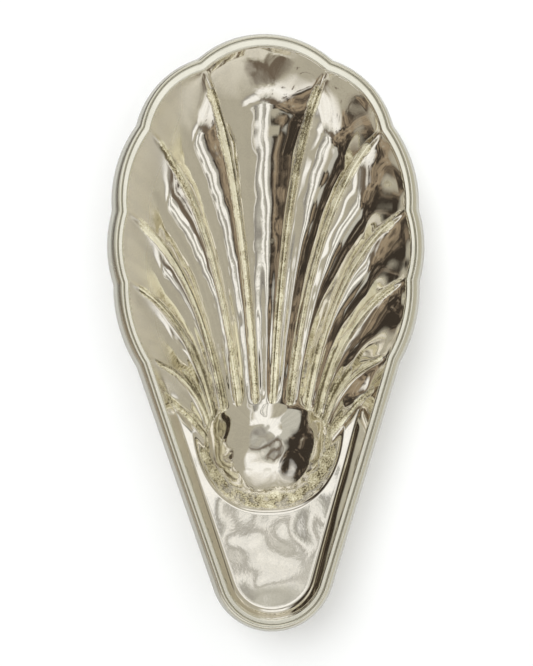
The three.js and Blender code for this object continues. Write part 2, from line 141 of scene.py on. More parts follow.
# Hand-finished unevenness of the sheet: slopes and lengths of its slow waves and dents
WAVE_COUNT = 40
WAVE_SLOPE = 0.009
WAVE_LENGTHS = (3.5, 20.0)
WAVE_SEED = 7
DENT_SLOPE = 0.016
DENT_LENGTHS = (6.0, 14.0)
DENT_SEED = 3
LEFT_DENT_SHARE = 0.3
LEFT_DENTS_UPTO_X = (-25.0, 5.0)
TONGUE_WAVE_SLOPE = 0.0026
TONGUE_WAVE_LENGTHS = (8.0, 22.0)
TONGUE_SEED = 21
WELL_DENT_SLOPE = 0.013
WELL_DENT_SEED = 5
WELL_DENTS_UPTO = (0.6, 0.9)
FADE_ROWS_AT_EDGE = 8

# Fine lines that the press leaves along the flutes, and coarser ones where the flutes meet the well: height
# over the columns' spacing, reach across in columns, reach along in rows, seed. Shares are of the way out.
FINE_LINES = (0.022, 1.3, 14.0, 11)
FINE_LINES_FADE = (0.6, 0.9)
COARSE_LINES = (1.1, 3.0, 30.0, 5)
COARSE_LINES_END = 0.6
LINES_START = 0.05

# Streaks of lighter and darker painted reflection along the flutes: reach across in columns, reach along in
# rows, seed
STREAKS = (1.1, 22.0, 17)
# How light the painted reflections are: the streaks, fewer streaks and darker towards the tongue, and a
# painted highlight along the ribs
STREAK_TONE = 0.18
BACK_STREAK_SHARE = 0.35
BACK_TONE = -0.07
RIB_TONE = 0.20

# Where the sheet is grainy and gets painted reflections: a painted highlight along its ribs, and painted
# reflections where it is steep in the lower part of the bowl
RIB_GRAIN_REACH = 1.25
RIB_GRAIN_REACH_OUT = 1.8
RIB_GRAIN_WIDENS = (0.4, 0.75)
RIB_GRAIN_END = (0.90, 0.985)
STEEP_LEAN = (math.radians(44), math.radians(62))
STEEP_UPTO_Y = (8.0, -12.0)
STEEP_WAY = (0.45, 0.65)
STEEP_PAST_CREST = 0.05
STEEP_BACK = 0.2

# Where the sheet is less polished: along the edge of the left lobes
SATIN_FROM_EDGE = (5.0, 15.0)
SATIN_UPTO_X = (-32.0, -16.0)
SATIN_ROUGHNESS = 0.3

# Slopes over which the border's roll gets painted shade as it turns down, and the tones of the roll and of
# the painted shade in the crease by the bead
PAINTED_SHADE_SLOPES = (0.28, 1.03)
CREASE_SHADE_TONE = -0.3
ROLL_TONE = 0.5

# Fineness of the meshes
LOBE_CUTS = 44
LOBE_CUTS_CLOSER = 0.1
SIDE_CUTS = 60
TONGUE_CUTS = 40
SOFTENING_STEP = 0.1
WELL_CUTS = 24
ROW_CUTS = 150
ROW_CUTS_CLOSER = 0.06
BACK_ROW_SHARE = 0.5
BACK_ROWS_PAST_CREST = 1.04
BACK_ROWS_INNER_END = 0.8
CREST_HALVINGS = 24
NORMAL_STEP = 0.004
BEAD_CUTS = 15
BEAD_TURN = (-0.5, 0.46)
BEAD_RAGGED_CUTS = BEAD_CUTS // 4
CREST_CUTS = 8
CREST_TURN = (0.9, 0.5)
CREASE_CUTS = slice(BEAD_CUTS - 1, BEAD_CUTS + 3)
ROLL_CUTS = 24
SEAT_CUTS = 2
FOOT_CUTS = 64
FOOT_BALL_CUTS = 40
FOOT_NECK_CUTS = 12

FLOOR_Z = FEET_LIFT + SHEET
FLANGE_Z = FLOOR_Z + BOWL_DEPTH
TONGUE_RISE = BOWL_DEPTH - TONGUE_DROP
CREST_SHARE = math.sqrt(1 - (1 - TONGUE_RISE / WELL_HEIGHT) ** 2)
LOWEST_NOTCH_Y = FAN_TOP_Y - NOTCH_DROPS[-1]
WELL_REACH = np.array((WELL_HALF_WIDTH, WELL_HALF_LENGTH))
WELL_MIDDLE = np.array((0.0, RIB_ENDS_CENTRE_Y))


def mix(a, b, share):
    return a + (b - a) * share


def smoothstep(x):
    x = np.clip(x, 0.0, 1.0)
    return x * x * (3.0 - 2.0 * x)


def ramp(x, first, last):
    """0 up to the first value, 1 from the last one on."""
    return smoothstep((x - first) / (last - first))


def unit(vectors):
    return vectors / np.linalg.norm(vectors, axis=-1, keepdims=True)


def turned(point, angle):
    c, s = math.cos(angle), math.sin(angle)
    return np.array((c * point[0] - s * point[1], s * point[0] + c * point[1]))


def with_heights(place, height):
    return np.concatenate((place, height[..., None]), -1)


# Outline

def arc_points(start, end, rise, shares):
    """Points on the arc that stands out of a chord on its right side."""
    chord = end - start
    half = np.hypot(*chord) / 2
    radius = (half ** 2 + rise ** 2) / (2 * rise)
    out = np.array((chord[1], -chord[0])) / (2 * half)
    centre = (start + end) / 2 + out * (rise - radius)
    turn = 2 * math.asin(half / radius)
    return [centre + turned(out * radius, (share - 0.5) * turn) for share in shares]


def closer_at_ends(even, closer):
    """Even shares from 0 to 1, moved closer together near both ends."""
    return even - closer * np.sin(2 * math.pi * even)


def tongue_rows(lowest):
    """The right half of the tongue's outline up to the side rib, and the place of that rib."""
    end_centre = np.array((0.0, TONGUE_TIP_Y + TONGUE_END_RADIUS))
    away = lowest - end_centre
    distance = np.hypot(*away)
    to_touch = -math.acos(TONGUE_END_RADIUS / distance)
    touch = end_centre + turned(away / distance * TONGUE_END_RADIUS, to_touch)
    side_rib = mix(lowest, touch, (lowest[1] - SIDE_RIB_Y) / (lowest[1] - touch[1]))
    spoke = touch - end_centre
    end_turn = math.atan2(spoke[1], spoke[0]) + math.pi / 2
    end_length = end_turn * TONGUE_END_RADIUS
    side_length = np.hypot(*(side_rib - touch))
    rows = []
    for share in np.arange(TONGUE_CUTS) / TONGUE_CUTS:
        place = end_centre + turned((0.0, -TONGUE_END_RADIUS), end_turn * share)
        rows.append((place, TONGUE_LOBE, share * end_length / (end_length + side_length)))
    for share in np.arange(SIDE_CUTS) / SIDE_CUTS:
        along = end_length + share * side_length
        rows.append((mix(touch, side_rib, share), TONGUE_LOBE, along / (end_length + side_length)))
    return rows, side_rib


def right_half():
    """The outline from the tongue's tip to the middle lobe: places, lobes and shares of a lobe."""
    notches = [np.array((FAN_HALF_WIDTH - inset, FAN_TOP_Y - drop))
               for inset, drop in zip(NOTCH_INSETS, NOTCH_DROPS)]
    rows, side_rib = tongue_rows(notches[-1])
    shares = closer_at_ends(np.arange(LOBE_CUTS) / LOBE_CUTS, LOBE_CUTS_CLOSER)
    rows += [(mix(side_rib, notches[-1], share), SIDE_LOBE, share) for share in shares]
    for k in range(len(notches) - 1, 0, -1):
        arc = arc_points(notches[k], notches[k - 1], SIDE_LOBE_RISES[k - 1], shares)
        rows += [(place, len(notches) - k, share) for place, share in zip(arc, shares)]
    mirrored = notches[0] * (-1, 1)
    half_shares = [share for share in shares if share < 0.5 - TINY] + [0.5]
    arc = arc_points(notches[0], mirrored, NOTCH_DROPS[0], half_shares)
    rows += [(place, len(notches), share) for place, share in zip(arc, half_shares)]
    return rows


def soften(points, reach):
    """Rounds the corners of a closed line, over about a reach to each side."""
    steps = np.hypot(*(np.roll(points, -1, 0) - points).T)
    along = np.concatenate(([0.0], np.cumsum(steps)))
    count = int(along[-1] / SOFTENING_STEP)
    even = np.arange(count) * along[-1] / count
    closed = np.vstack((points, points[:1]))
    frequency = np.fft.rfftfreq(count, along[-1] / count)
    keep = np.exp(-2 * (math.pi * frequency * reach) ** 2)
    result = np.empty_like(points)
    for axis in range(2):
        line = np.interp(even, along, closed[:, axis])
        smooth = np.fft.irfft(np.fft.rfft(line) * keep, count)
        smooth = np.append(smooth, smooth[0])
        result[:, axis] = np.interp(along[:-1], np.append(even, along[-1]), smooth)
    return result


def shares_along(line):
    """How far along an open line each of its points lies, as shares of its length."""
    steps = np.hypot(*np.diff(line, axis=0).T)
    return np.concatenate(([0.0], np.cumsum(steps))) / steps.sum()


def spaced_like(line, other):
    """The same line, with its points at the shares of its length where the other line has them."""
    wanted, have = shares_along(other), shares_along(line)
    return np.stack([np.interp(wanted, have, line[:, axis]) for axis in range(2)], 1)


class Columns:
    """Lines that run from the well out to the edge, all round the dish.

    place, lobe and share say where a column meets the sharp outline. side is 1 on the right and -1 on the
    left. ribs has the numbers of the two ribs beside it. back is 0 in the fan and 1 towards the tongue.
    """

    def __init__(self):
        self.set_outline()
        self.set_border()
        self.set_starts()

    def set_outline(self):
        right = right_half()
        left = [(place * (-1, 1), lobe, share) for place, lobe, share in right[-2:0:-1]]
        rows = right + left
        self.count = len(rows)
        self.numbers = np.arange(self.count)
        self.place = np.array([row[0] for row in rows])
        self.lobe = np.array([row[1] for row in rows])
        self.share = np.array([row[2] for row in rows])
        self.side = np.where(self.numbers < len(right), 1.0, -1.0)
        ribs = np.flatnonzero((self.lobe != TONGUE_LOBE) & (self.share == 0.0))
        order = np.clip(np.searchsorted(ribs, self.numbers, side="right") - 1, 0, len(ribs) - 2)
        self.ribs = np.stack((ribs[order], ribs[order + 1]), 1)
        self.lobes = [slice(first, last + 1) for first, last in zip(ribs[:-1], ribs[1:])]

    def set_border(self):
        """The border's inner and outer edge, with softened notches, and the width of its bead."""
        sharp = self.place
        behind = unit(sharp - np.roll(sharp, 1, 0))
        ahead = unit(np.roll(sharp, -1, 0) - sharp)
        along = unit(behind + ahead)
        out = np.stack((along[:, 1], -along[:, 0]), 1) / (along * behind).sum(1)[:, None]
        from_middle = np.abs(sharp[:, 0])
        wider = ramp(from_middle, BORDER_WIDENS_FROM_X, from_middle.max())
        edge = sharp - out * mix(BORDER_END_WIDTH, BORDER_SIDE_WIDTH, wider)[:, None]
        for lobe in self.lobes:
            edge[lobe] = spaced_like(edge[lobe], sharp[lobe])
        self.edge = soften(edge, NOTCH_SOFTNESS_INSIDE)
        self.outer = soften(sharp, NOTCH_SOFTNESS_OUTSIDE)
        self.out = unit(self.outer - self.edge)
        to_top = ramp(sharp[:, 1], BEAD_WIDENS_FROM_Y, FAN_TOP_Y)
        self.bead = mix(BEAD_WIDTH, BEAD_WIDTH_TOP, to_top)

    def set_starts(self):
        """Where the columns start at the well, how long they are and where they pass its crest."""
        self.start = start_points(self)
        self.start_height = well_height(self.start)
        run = self.edge - self.start
        self.length = np.hypot(*run.T)
        low, high = np.zeros(self.count), np.ones(self.count)
        for _ in range(CREST_HALVINGS):
            middle = (low + high) / 2
            inside = well_share(self.start + run * middle[:, None]) < CREST_SHARE
            low, high = np.where(inside, middle, low), np.where(inside, high, middle)
        self.crest = high
        turned_back = ramp(self.place[:, 1], LOWEST_NOTCH_Y, LOWEST_NOTCH_Y - FAN_TO_BACK)
        self.back = np.where(self.lobe > SIDE_LOBE, 0.0, turned_back)


# Bowl. Arrays of places are columns by rows.

def ends_along(across):
    return np.clip(1 - np.clip(across, 0, 1) ** RIB_ENDS_POWER, 0, 1) ** (1 / RIB_ENDS_POWER)


def start_points(columns):
    """Where the columns start: on a rounded line through the ribs' ends, all round the well."""
    ends = np.array((RIB_ENDS_HALF_WIDTH, *RIB_TIP_X[::-1], -RIB_TIP_X[0]))
    lobe = np.clip(columns.lobe, 0, len(ends) - 2)
    fan_x = mix(ends[lobe], ends[lobe + 1], columns.share)
    fan_y = RIB_ENDS_CENTRE_Y + RIB_ENDS_HALF_LENGTH * ends_along(np.abs(fan_x) / RIB_ENDS_HALF_WIDTH)
    angle = (1 - columns.share) * (math.pi / 2)
    out = np.clip(np.cos(angle), 0, 1) ** (2 / RIB_ENDS_POWER)
    down = np.clip(np.sin(angle), 0, 1) ** (2 / RIB_ENDS_POWER)
    is_back = columns.lobe == TONGUE_LOBE
    x = np.where(is_back, RIB_ENDS_HALF_WIDTH * out, fan_x) * columns.side
    y = np.where(is_back, RIB_ENDS_CENTRE_Y - RIB_ENDS_HALF_LENGTH * down, fan_y)
    return np.stack((x, y), 1)


def well_share(place):
    """How far out of the well a place is: 0 at its lowest point and 1 where its wall would be upright."""
    offset = np.abs((place - (0.0, WELL_LOWEST_Y)) / WELL_REACH)
    return (offset ** WELL_POWER).sum(-1) ** (1 / WELL_POWER)


def well_height(place):
    """The well's rounded form above its lowest point, carried on straight where it gets upright."""
    away = well_share(place)
    rounded = np.minimum(away, WELL_UPRIGHT)
    level = np.sqrt(1 - rounded ** 2)
    return WELL_HEIGHT * (1 - level + (away - rounded) * rounded / level)


def plan(columns, which, t):
    """Places on the columns picked by which, at shares t of their swept way out."""
    start = columns.start[which][:, None]
    edge = columns.edge[which][:, None]
    back = columns.back[which][:, None]
    sweep = np.stack((mix(RIB_SWEEP_X, NO_SWEEP, back), mix(RIB_SWEEP_Y, NO_SWEEP, back)), -1)
    pull = mix(start, edge, sweep)
    t = t[..., None]
    return mix(mix(start, pull, t), mix(pull, edge, t), t)


def ways(columns, place):
    """How far places on the columns are from the start and from the edge, and their share of the way."""
    from_start = np.linalg.norm(place - columns.start[:, None], axis=-1)
    to_edge = np.linalg.norm(columns.edge[:, None] - place, axis=-1)
    return from_start, to_edge, from_start / (from_start + to_edge)


def edge_gaps(columns, place):
    """How far places are from the bowl's inner edge. Only columns that turn into the back need it."""
    gaps = np.full(place.shape[:-1], TONGUE_FILLET)
    back = columns.back > 0
    first, last = columns.edge[back], np.roll(columns.edge, -1, 0)[back]
    along = last - first
    for column in np.flatnonzero(back):
        offset = place[column][:, None] - first
        share = np.clip((offset * along).sum(-1) / (along ** 2).sum(-1), 0, 1)
        gaps[column] = np.linalg.norm(offset - share[..., None] * along, axis=-1).min(1)
    return gaps


def fan_height(columns, place):
    """The fan's floor, which rises gently, and its wall at the edge."""
    _, to_edge, way = ways(columns, place)
    start_height = columns.start_height[:, None]
    up_wall = np.clip(1 - to_edge / np.minimum(WALL_RUN, columns.length[:, None]), 0, 1)
    wall = (BOWL_DEPTH - FLOOR_RISE) * up_wall ** WALL_POWER
    climb = (FLOOR_RISE * way ** FLOOR_POWER + wall) / BOWL_DEPTH
    return mix(start_height, BOWL_DEPTH, mix(climb, way, start_height / BOWL_DEPTH))


def back_height(columns, place):
    """The well's back wall, its rounded crest, the tongue and the fillet that takes it up to the edge."""
    well = well_height(place)
    tongue = TONGUE_RISE + TONGUE_SLOPE * (TONGUE_MIDDLE_Y - place[..., 1])
    near = np.maximum(0, CREST_ROUNDING - np.abs(well - tongue)) / CREST_ROUNDING
    crested = np.minimum(well, tongue) - near ** 2 * CREST_ROUNDING / 4
    fillet = np.clip(1 - edge_gaps(columns, place) / TONGUE_FILLET, 0, 1) ** TONGUE_FILLET_POWER
    return mix(crested, BOWL_DEPTH, fillet)


def base_points(columns, t):
    """The bowl without its ribs."""
    place = plan(columns, columns.numbers, t)
    height = mix(fan_height(columns, place), back_height(columns, place), columns.back[:, None])
    return with_heights(place, FLOOR_Z + height)


def line_normals(run):
    """Directions square to lines that run up the bowl, up and inwards."""
    level = np.hypot(run[..., 0], run[..., 1])[..., None]
    return unit(np.concatenate((-run[..., :2] * run[..., 2:] / level, level), -1))


def base_normals(columns, t):
    ahead = base_points(columns, np.minimum(1, t + NORMAL_STEP))
    return line_normals(ahead - base_points(columns, np.maximum(0, t - NORMAL_STEP)))


def well_points(columns, shares):
    """Points of the well between its middle and the columns' starts."""
    place = mix(WELL_MIDDLE, columns.start[:, None], shares[None, :, None])
    return with_heights(place, FLOOR_Z + well_height(place))


def rib_gaps(columns, t):
    """Distances from each point to the ribs beside it."""
    place = plan(columns, columns.numbers, t)
    gaps = [np.linalg.norm(place - plan(columns, columns.ribs[:, k], t), axis=-1) for k in range(2)]
    return np.stack(gaps, -1)


def rib_relief(columns, t, crown_share, gaps):
    """How far the ribs' crowns and the flutes' flanks stand up from the base."""
    from_start, to_edge, way = ways(columns, plan(columns, columns.numbers, t))
    outer = (np.abs(columns.start[columns.ribs, 0]) / RIB_ENDS_HALF_WIDTH)[:, None] ** OUTER_RIB_POWER
    tip_width = mix(RIB_HALF_WIDTH_TIP, OUTER_RIB_HALF_WIDTH, outer)
    half_width = mix(tip_width, RIB_HALF_WIDTH_RIM, way[..., None])
    is_back = (columns.lobe == TONGUE_LOBE)[:, None]
    reach = np.where(is_back, SIDE_FLANK, gaps.mean(-1))[..., None]
    hollow = np.minimum(FLUTE_DEEPEST, reach ** 2 / (2 * FLUTE_RADIUS))
    nose = smoothstep(from_start / RIB_NOSE)
    runout = smoothstep(to_edge / RIB_RUNOUT)
    flute_runout = smoothstep(to_edge / FLUTE_RUNOUT)[..., None]
    height = mix(mix(RIB_HEIGHT, OUTER_RIB_HEIGHT, outer), RIB_HEIGHT, way[..., None])
    crown = crown_share * height * np.exp(-((gaps / half_width) ** 2))
    flank = flute_runout * hollow * np.maximum(0, 1 - gaps / reach) ** 2
    full = np.where(columns.lobe[columns.ribs] == SIDE_LOBE, SIDE_RIB_SHARE, 1.0)[:, None]
    nearest = np.where(is_back[..., None], gaps <= gaps.min(-1, keepdims=True), True)
    return nose * runout * (full * nearest * (crown + flank)).sum(-1)


def slow_waves(points, slope, lengths, seed):
    """A gentle unevenness, the same on each run."""
    draw = np.random.RandomState(seed)
    height = np.zeros(points.shape[:-1])
    for _ in range(WAVE_COUNT):
        angle, phase = draw.uniform(0, 2 * math.pi, 2)
        length = draw.uniform(*lengths)
        across = points[..., 0] * math.cos(angle) + points[..., 1] * math.sin(angle)
        height += slope * length / (2 * math.pi) * np.sin(2 * math.pi * across / length + phase)
    return height


def line_noise(shape, across, along, seed):
    """Lines that run along the columns, the same on each run."""
    noise = np.random.RandomState(seed).normal(size=shape)
    waves_across = np.fft.fftfreq(shape[0])[:, None] * across
    waves_along = np.fft.fftfreq(shape[1])[None] * along
    keep = np.exp(-2 * math.pi ** 2 * (waves_across ** 2 + waves_along ** 2))
    noise = np.fft.ifft2(np.fft.fft2(noise) * keep).real
    return noise / noise.std()


def drawn_lines(points, height, *lines):
    """Heights of such lines, in step with how far apart the columns are."""
    spacing = np.linalg.norm(np.roll(points, -1, 0) - points, axis=-1)
    return height * spacing * line_noise(points.shape[:2], *lines)


def press_lines(columns, points):
    """The lines that the press leaves, which start past the well and leave out the tongue."""
    way = np.clip((np.arange(points.shape[1]) - WELL_CUTS) / ROW_CUTS, 0, 1)
    fine = drawn_lines(points, *FINE_LINES) * (1 - ramp(way, *FINE_LINES_FADE))
    coarse = drawn_lines(points, *COARSE_LINES) * (1 - smoothstep(way / COARSE_LINES_END))
    return (fine + coarse) * smoothstep(way / LINES_START) * (1 - columns.back[:, None])


def from_edge(columns, points):
    """How far points on the columns are, in plan, from where their column ends."""
    return np.linalg.norm(points[..., :2] - columns.edge[:, None], axis=-1)


def unevenness(columns, points):
    """Slow waves all over, dents on the fan's walls and in the well, and lines from the press."""
    back = columns.back[:, None]
    waves = slow_waves(points, WAVE_SLOPE, WAVE_LENGTHS, WAVE_SEED)
    dents = slow_waves(points, DENT_SLOPE, DENT_LENGTHS, DENT_SEED)
    on_wall = (1 - smoothstep(from_edge(columns, points) / WALL_RUN)) * (1 - back)
    on_wall *= mix(LEFT_DENT_SHARE, 1.0, ramp(points[..., 0], *LEFT_DENTS_UPTO_X))
    in_well = 1 - ramp(well_share(points[..., :2]), *WELL_DENTS_UPTO)
    on_tongue = slow_waves(points, TONGUE_WAVE_SLOPE, TONGUE_WAVE_LENGTHS, TONGUE_SEED)
    waves = mix(waves, on_tongue, back * (1 - in_well))
    well_dents = slow_waves(points, WELL_DENT_SLOPE, DENT_LENGTHS, WELL_DENT_SEED)
    return waves + dents * on_wall + well_dents * in_well + press_lines(columns, points)


def row_shares(columns):
    """Where rows lie on their columns: closer at both ends in the fan, and in the well's back wall."""
    even = np.linspace(0, 1, ROW_CUTS + 1)
    fan = closer_at_ends(even, ROW_CUTS_CLOSER)
    reached = np.minimum(BACK_ROWS_INNER_END, BACK_ROWS_PAST_CREST * columns.crest)[:, None]
    inner = reached * np.minimum(1, even / BACK_ROW_SHARE)
    outer = (1 - reached) * np.maximum(0, (even - BACK_ROW_SHARE) / (1 - BACK_ROW_SHARE))
    return mix(fan[None], inner + outer, columns.back[:, None])


def sheet_points(columns, depth, crown_share):
    """A face of the sheet at a depth, from next to the well's middle to the edge, and its ribs' gaps."""
    t = row_shares(columns)
    gaps = rib_gaps(columns, t)
    relief = rib_relief(columns, t, crown_share, gaps)
    points = base_points(columns, t) + base_normals(columns, t) * (relief - depth)[..., None]
    shares = np.arange(1, WELL_CUTS) / WELL_CUTS
    half_row = 0.5 / WELL_CUTS
    run = well_points(columns, shares + half_row) - well_points(columns, shares - half_row)
    well = well_points(columns, shares) - line_normals(run) * depth
    return np.concatenate((well, points), 1), gaps


def grid_normals(points, middle):
    along = np.roll(points, -1, 0) - np.roll(points, 1, 0)
    padded = np.concatenate((np.broadcast_to(middle, points[:, :1].shape), points), 1)
    outward = np.empty_like(points)
    outward[:, :-1] = padded[:, 2:] - padded[:, :-2]
    outward[:, -1] = points[:, -1] - points[:, -2]
    normal = np.cross(outward, along)
    return normal / np.maximum(TINY, np.linalg.norm(normal, axis=-1, keepdims=True))


def beyond_edge(columns, distance, z):
    """A ring a distance outside the bowl's inner edge."""
    place = columns.edge + columns.out * distance
    return with_heights(place, np.full(columns.count, z))[:, None]


# Meshes

def new_mesh(name, vertices, faces, values=None):
    mesh = bpy.data.meshes.new(name)
    mesh.from_pydata((np.asarray(vertices) * MM).tolist(), [], faces)
    mesh.validate()
    mesh.polygons.foreach_set("use_smooth", np.ones(len(mesh.polygons), bool))
    for key, data in (values or {}).items():
        layer = mesh.attributes.new(key, "FLOAT", "POINT")
        layer.data.foreach_set("value", np.asarray(data, np.float32))
    mesh.update()
    piece = bpy.data.objects.new(name, mesh)
    bpy.context.scene.collection.objects.link(piece)
    return piece


def ring_quads(count, rows, first, flip):
    """Faces of a closed band of columns by rows, whose points are numbered column by column."""
    i = np.arange(count)[:, None]
    r = np.arange(rows - 1)[None]
    here = first + i * rows + r
    there = first + ((i + 1) % count) * rows + r
    quads = np.stack((here, here + 1, there + 1, there), -1).reshape(-1, 4)
    return quads[:, ::-1] if flip else quads


def bowl_points(columns):
    """The sheet's upper and lower face with its flange, the middle of the well and the ribs' gaps."""
    middle = np.append(WELL_MIDDLE, FLOOR_Z + well_height(WELL_MIDDLE))
    upper, gaps = sheet_points(columns, 0.0, 1.0)
    lower, _ = sheet_points(columns, SHEET, UNDER_RIB_SHARE)
    fade = np.ones(upper.shape[1])
    fade[-FADE_ROWS_AT_EDGE:] = np.linspace(1, 0, FADE_ROWS_AT_EDGE)
    waves = unevenness(columns, upper) * fade
    upper[..., 2] += waves
    lower[..., 2] += waves
    middle[2] += slow_waves(middle, WAVE_SLOPE, WAVE_LENGTHS, WAVE_SEED)
    middle[2] += slow_waves(middle, WELL_DENT_SLOPE, DENT_LENGTHS, WELL_DENT_SEED)
    upper = np.concatenate((upper, beyond_edge(columns, FLANGE_WIDTH, FLANGE_Z)), 1)
    corner = beyond_edge(columns, UNDER_CORNER, FLANGE_Z - SHEET)
    end = beyond_edge(columns, FLANGE_WIDTH, FLANGE_Z - SHEET)
    lower = np.concatenate((lower[:, :-1], corner, end), 1)
    return upper, lower, middle, gaps


def bowl_faces(count, upper_rows, lower_rows):
    """Faces of both sides, which meet at the flange's end. The well's middle points are numbered last."""
    second = count * upper_rows
    poles = second + count * lower_rows
    faces = ring_quads(count, upper_rows, 0, False).tolist()
    faces += ring_quads(count, lower_rows, second, True).tolist()
    for i in range(count):
        j = (i + 1) % count
        faces.append((poles, i * upper_rows, j * upper_rows))
        faces.append((poles + 1, second + j * lower_rows, second + i * lower_rows))
        ends = (i + 1) * upper_rows - 1, (j + 1) * upper_rows - 1
        below = second + (i + 1) * lower_rows - 1, second + (j + 1) * lower_rows - 1
        faces.append((ends[0], below[0], below[1], ends[1]))
    return faces


def bowl_grain_and_painted_reflection(columns, upper, middle, gaps):
    """Where the upper face is grainy with painted reflections, how light these are and where it is satin.
    """
    back = columns.back[:, None]
    rows = row_shares(columns)
    outside_well = slice(WELL_CUTS - 1, -1)
    way = np.zeros(upper.shape[:2])
    way[:, outside_well] = rows
    way[:, -1] = 1
    lean = np.arccos(np.clip(grid_normals(upper, middle)[..., 2], -1, 1))
    # Steep walls low in the bowl get painted reflection, as well as coarse grain
    grain = ramp(lean, *STEEP_LEAN) * ramp(upper[..., 1], *STEEP_UPTO_Y)
    past_crest = smoothstep((way - columns.crest[:, None]) / STEEP_PAST_CREST)
    grain *= 1 - mix(ramp(way, *STEEP_WAY), past_crest, smoothstep(back / STEEP_BACK))
    # Along the ribs: a painted highlight, with coarse grain
    reach = mix(RIB_GRAIN_REACH, RIB_GRAIN_REACH_OUT, ramp(rows, *RIB_GRAIN_WIDENS))
    near_rib = np.exp(-((gaps.min(-1) / reach) ** 2)) * (1 - ramp(rows, *RIB_GRAIN_END))
    grain[:, outside_well] = np.maximum(grain[:, outside_well], near_rib)
    # Tone of the painted reflections: streaks, darker towards the tongue, and brighter on the ribs as
    # painted highlight
    tone = STREAK_TONE * line_noise(grain.shape, *STREAKS) * mix(1.0, BACK_STREAK_SHARE, back)
    tone += BACK_TONE * back
    tone[:, outside_well] += RIB_TONE * near_rib
    satin = (1 - ramp(from_edge(columns, upper), *SATIN_FROM_EDGE)) * (1 - back)
    satin *= 1 - ramp(upper[..., 0], *SATIN_UPTO_X)
    return {"grain": grain, "tone": tone, "satin": satin}


def make_bowl(columns):
    """The pressed sheet, and the points of its underside."""
    upper, lower, middle, gaps = bowl_points(columns)
    under = lower.reshape(-1, 3)
    vertices = np.vstack((upper.reshape(-1, 3), under, middle, middle - (0, 0, SHEET)))
    faces = bowl_faces(columns.count, upper.shape[1], lower.shape[1])
    values = {}
    for key, seen in bowl_grain_and_painted_reflection(columns, upper, middle, gaps).items():
        values[key] = np.zeros(len(vertices))
        values[key][:seen.size] = seen.reshape(-1)
    return new_mesh("bowl_skin", vertices, faces, values), under


def border_section(width, bead):
    """The border's section as distances beyond the bowl's edge and heights above the flange."""
    points = [(0.0, 0.0)]
    for across in np.sin(np.linspace(*BEAD_TURN, BEAD_CUTS) * math.pi):
        height = mix(VALLEY_HEIGHT, BEAD_HEIGHT, math.sqrt(1 - abs(across) ** BEAD_POWER))
        points.append((bead * (1 + across) / 2, height))
    crest = bead + BORDER_CREST
    for angle in np.linspace(*CREST_TURN, CREST_CUTS) * math.pi:
        rise = (BORDER_CROWN - VALLEY_HEIGHT) * math.sin(angle)
        points.append((crest + BORDER_CREST * math.cos(angle), VALLEY_HEIGHT + rise))
    for angle in np.linspace(0.5 * math.pi, 0, ROLL_CUTS)[1:]:
        drop = (BORDER_CROWN + BORDER_SKIRT) * (1 - math.sin(angle))
        points.append((crest + (width - crest) * math.cos(angle), BORDER_CROWN - drop))
    seat_end = FLANGE_WIDTH + SEAT_PLAY
    return np.array(points + [(seat_end, -BORDER_SKIRT), (seat_end, 0.0)])


def section_painted_shade(section):
    """Where a section of the border gets painted shade: down its roll, the more the steeper it turns, and
    in the crease beside its bead.
    """
    slope = np.arctan2(-np.gradient(section[:, 1]), np.gradient(section[:, 0]))
    painted_shade = ramp(slope, *PAINTED_SHADE_SLOPES)
    painted_shade[:BEAD_CUTS + CREST_CUTS] = 0
    painted_shade[-SEAT_CUTS:] = 0
    # The crease beside the bead gets full painted shade
    painted_shade[CREASE_CUTS] = 1
    return painted_shade


def make_border(columns):
    width = np.linalg.norm(columns.outer - columns.edge, axis=-1)
    ragged = BEAD_RAGGED * np.random.RandomState(BEAD_SEED).uniform(0, 1, columns.count)
    points = []
    painted_shade = []
    for i in range(columns.count):
        section = border_section(width[i], columns.bead[i])
        painted_shade.append(section_painted_shade(section))
        section[1:BEAD_RAGGED_CUTS, 0] -= ragged[i]
        place = columns.edge[i] + columns.out[i] * section[:, :1]
        points.append(with_heights(place, FLANGE_Z + section[:, 1]))
    points = np.array(points)
    sides = points.shape[1]
    s = np.arange(sides)[None]
    up = (s + 1) % sides
    here = columns.numbers[:, None] * sides
    there = np.roll(here, -1, 0)
    faces = np.stack((here + s, here + up, there + up, there + s), -1).reshape(-1, 4)
    # The crease takes the dark painted-shade colour, the roll the lighter one
    tone = np.full((columns.count, sides), ROLL_TONE)
    tone[:, CREASE_CUTS] = CREASE_SHADE_TONE
    values = {"painted_shade": np.ravel(painted_shade), "tone": np.ravel(tone)}
    return new_mesh("border_roll", points.reshape(-1, 3), faces.tolist(), values)


def heights_near(points, places):
    """The heights of the points that lie nearest, in plan, to each place."""
    gaps = np.linalg.norm(points[None, :, :2] - np.asarray(places)[:, None], axis=-1)
    return points[gaps.argmin(1), 2]


def ball_profile():
    """Radii and heights of a ball foot, from the edge of its flat up to the start of its neck."""
    lowest = math.asin(FOOT_FLAT_RADIUS / FOOT_RADIUS)
    highest = math.pi - math.asin(FOOT_NECK_RADIUS / FOOT_RADIUS) - FOOT_NECK_ANGLE
    centre = FOOT_RADIUS * math.cos(lowest)
    angles = np.linspace(lowest, highest, FOOT_BALL_CUTS)
    radii = np.append(FOOT_FLAT_RADIUS * FOOT_FLAT_SHARE, FOOT_RADIUS * np.sin(angles))
    heights = np.append(0.0, centre - FOOT_RADIUS * np.cos(angles))
    return radii, heights


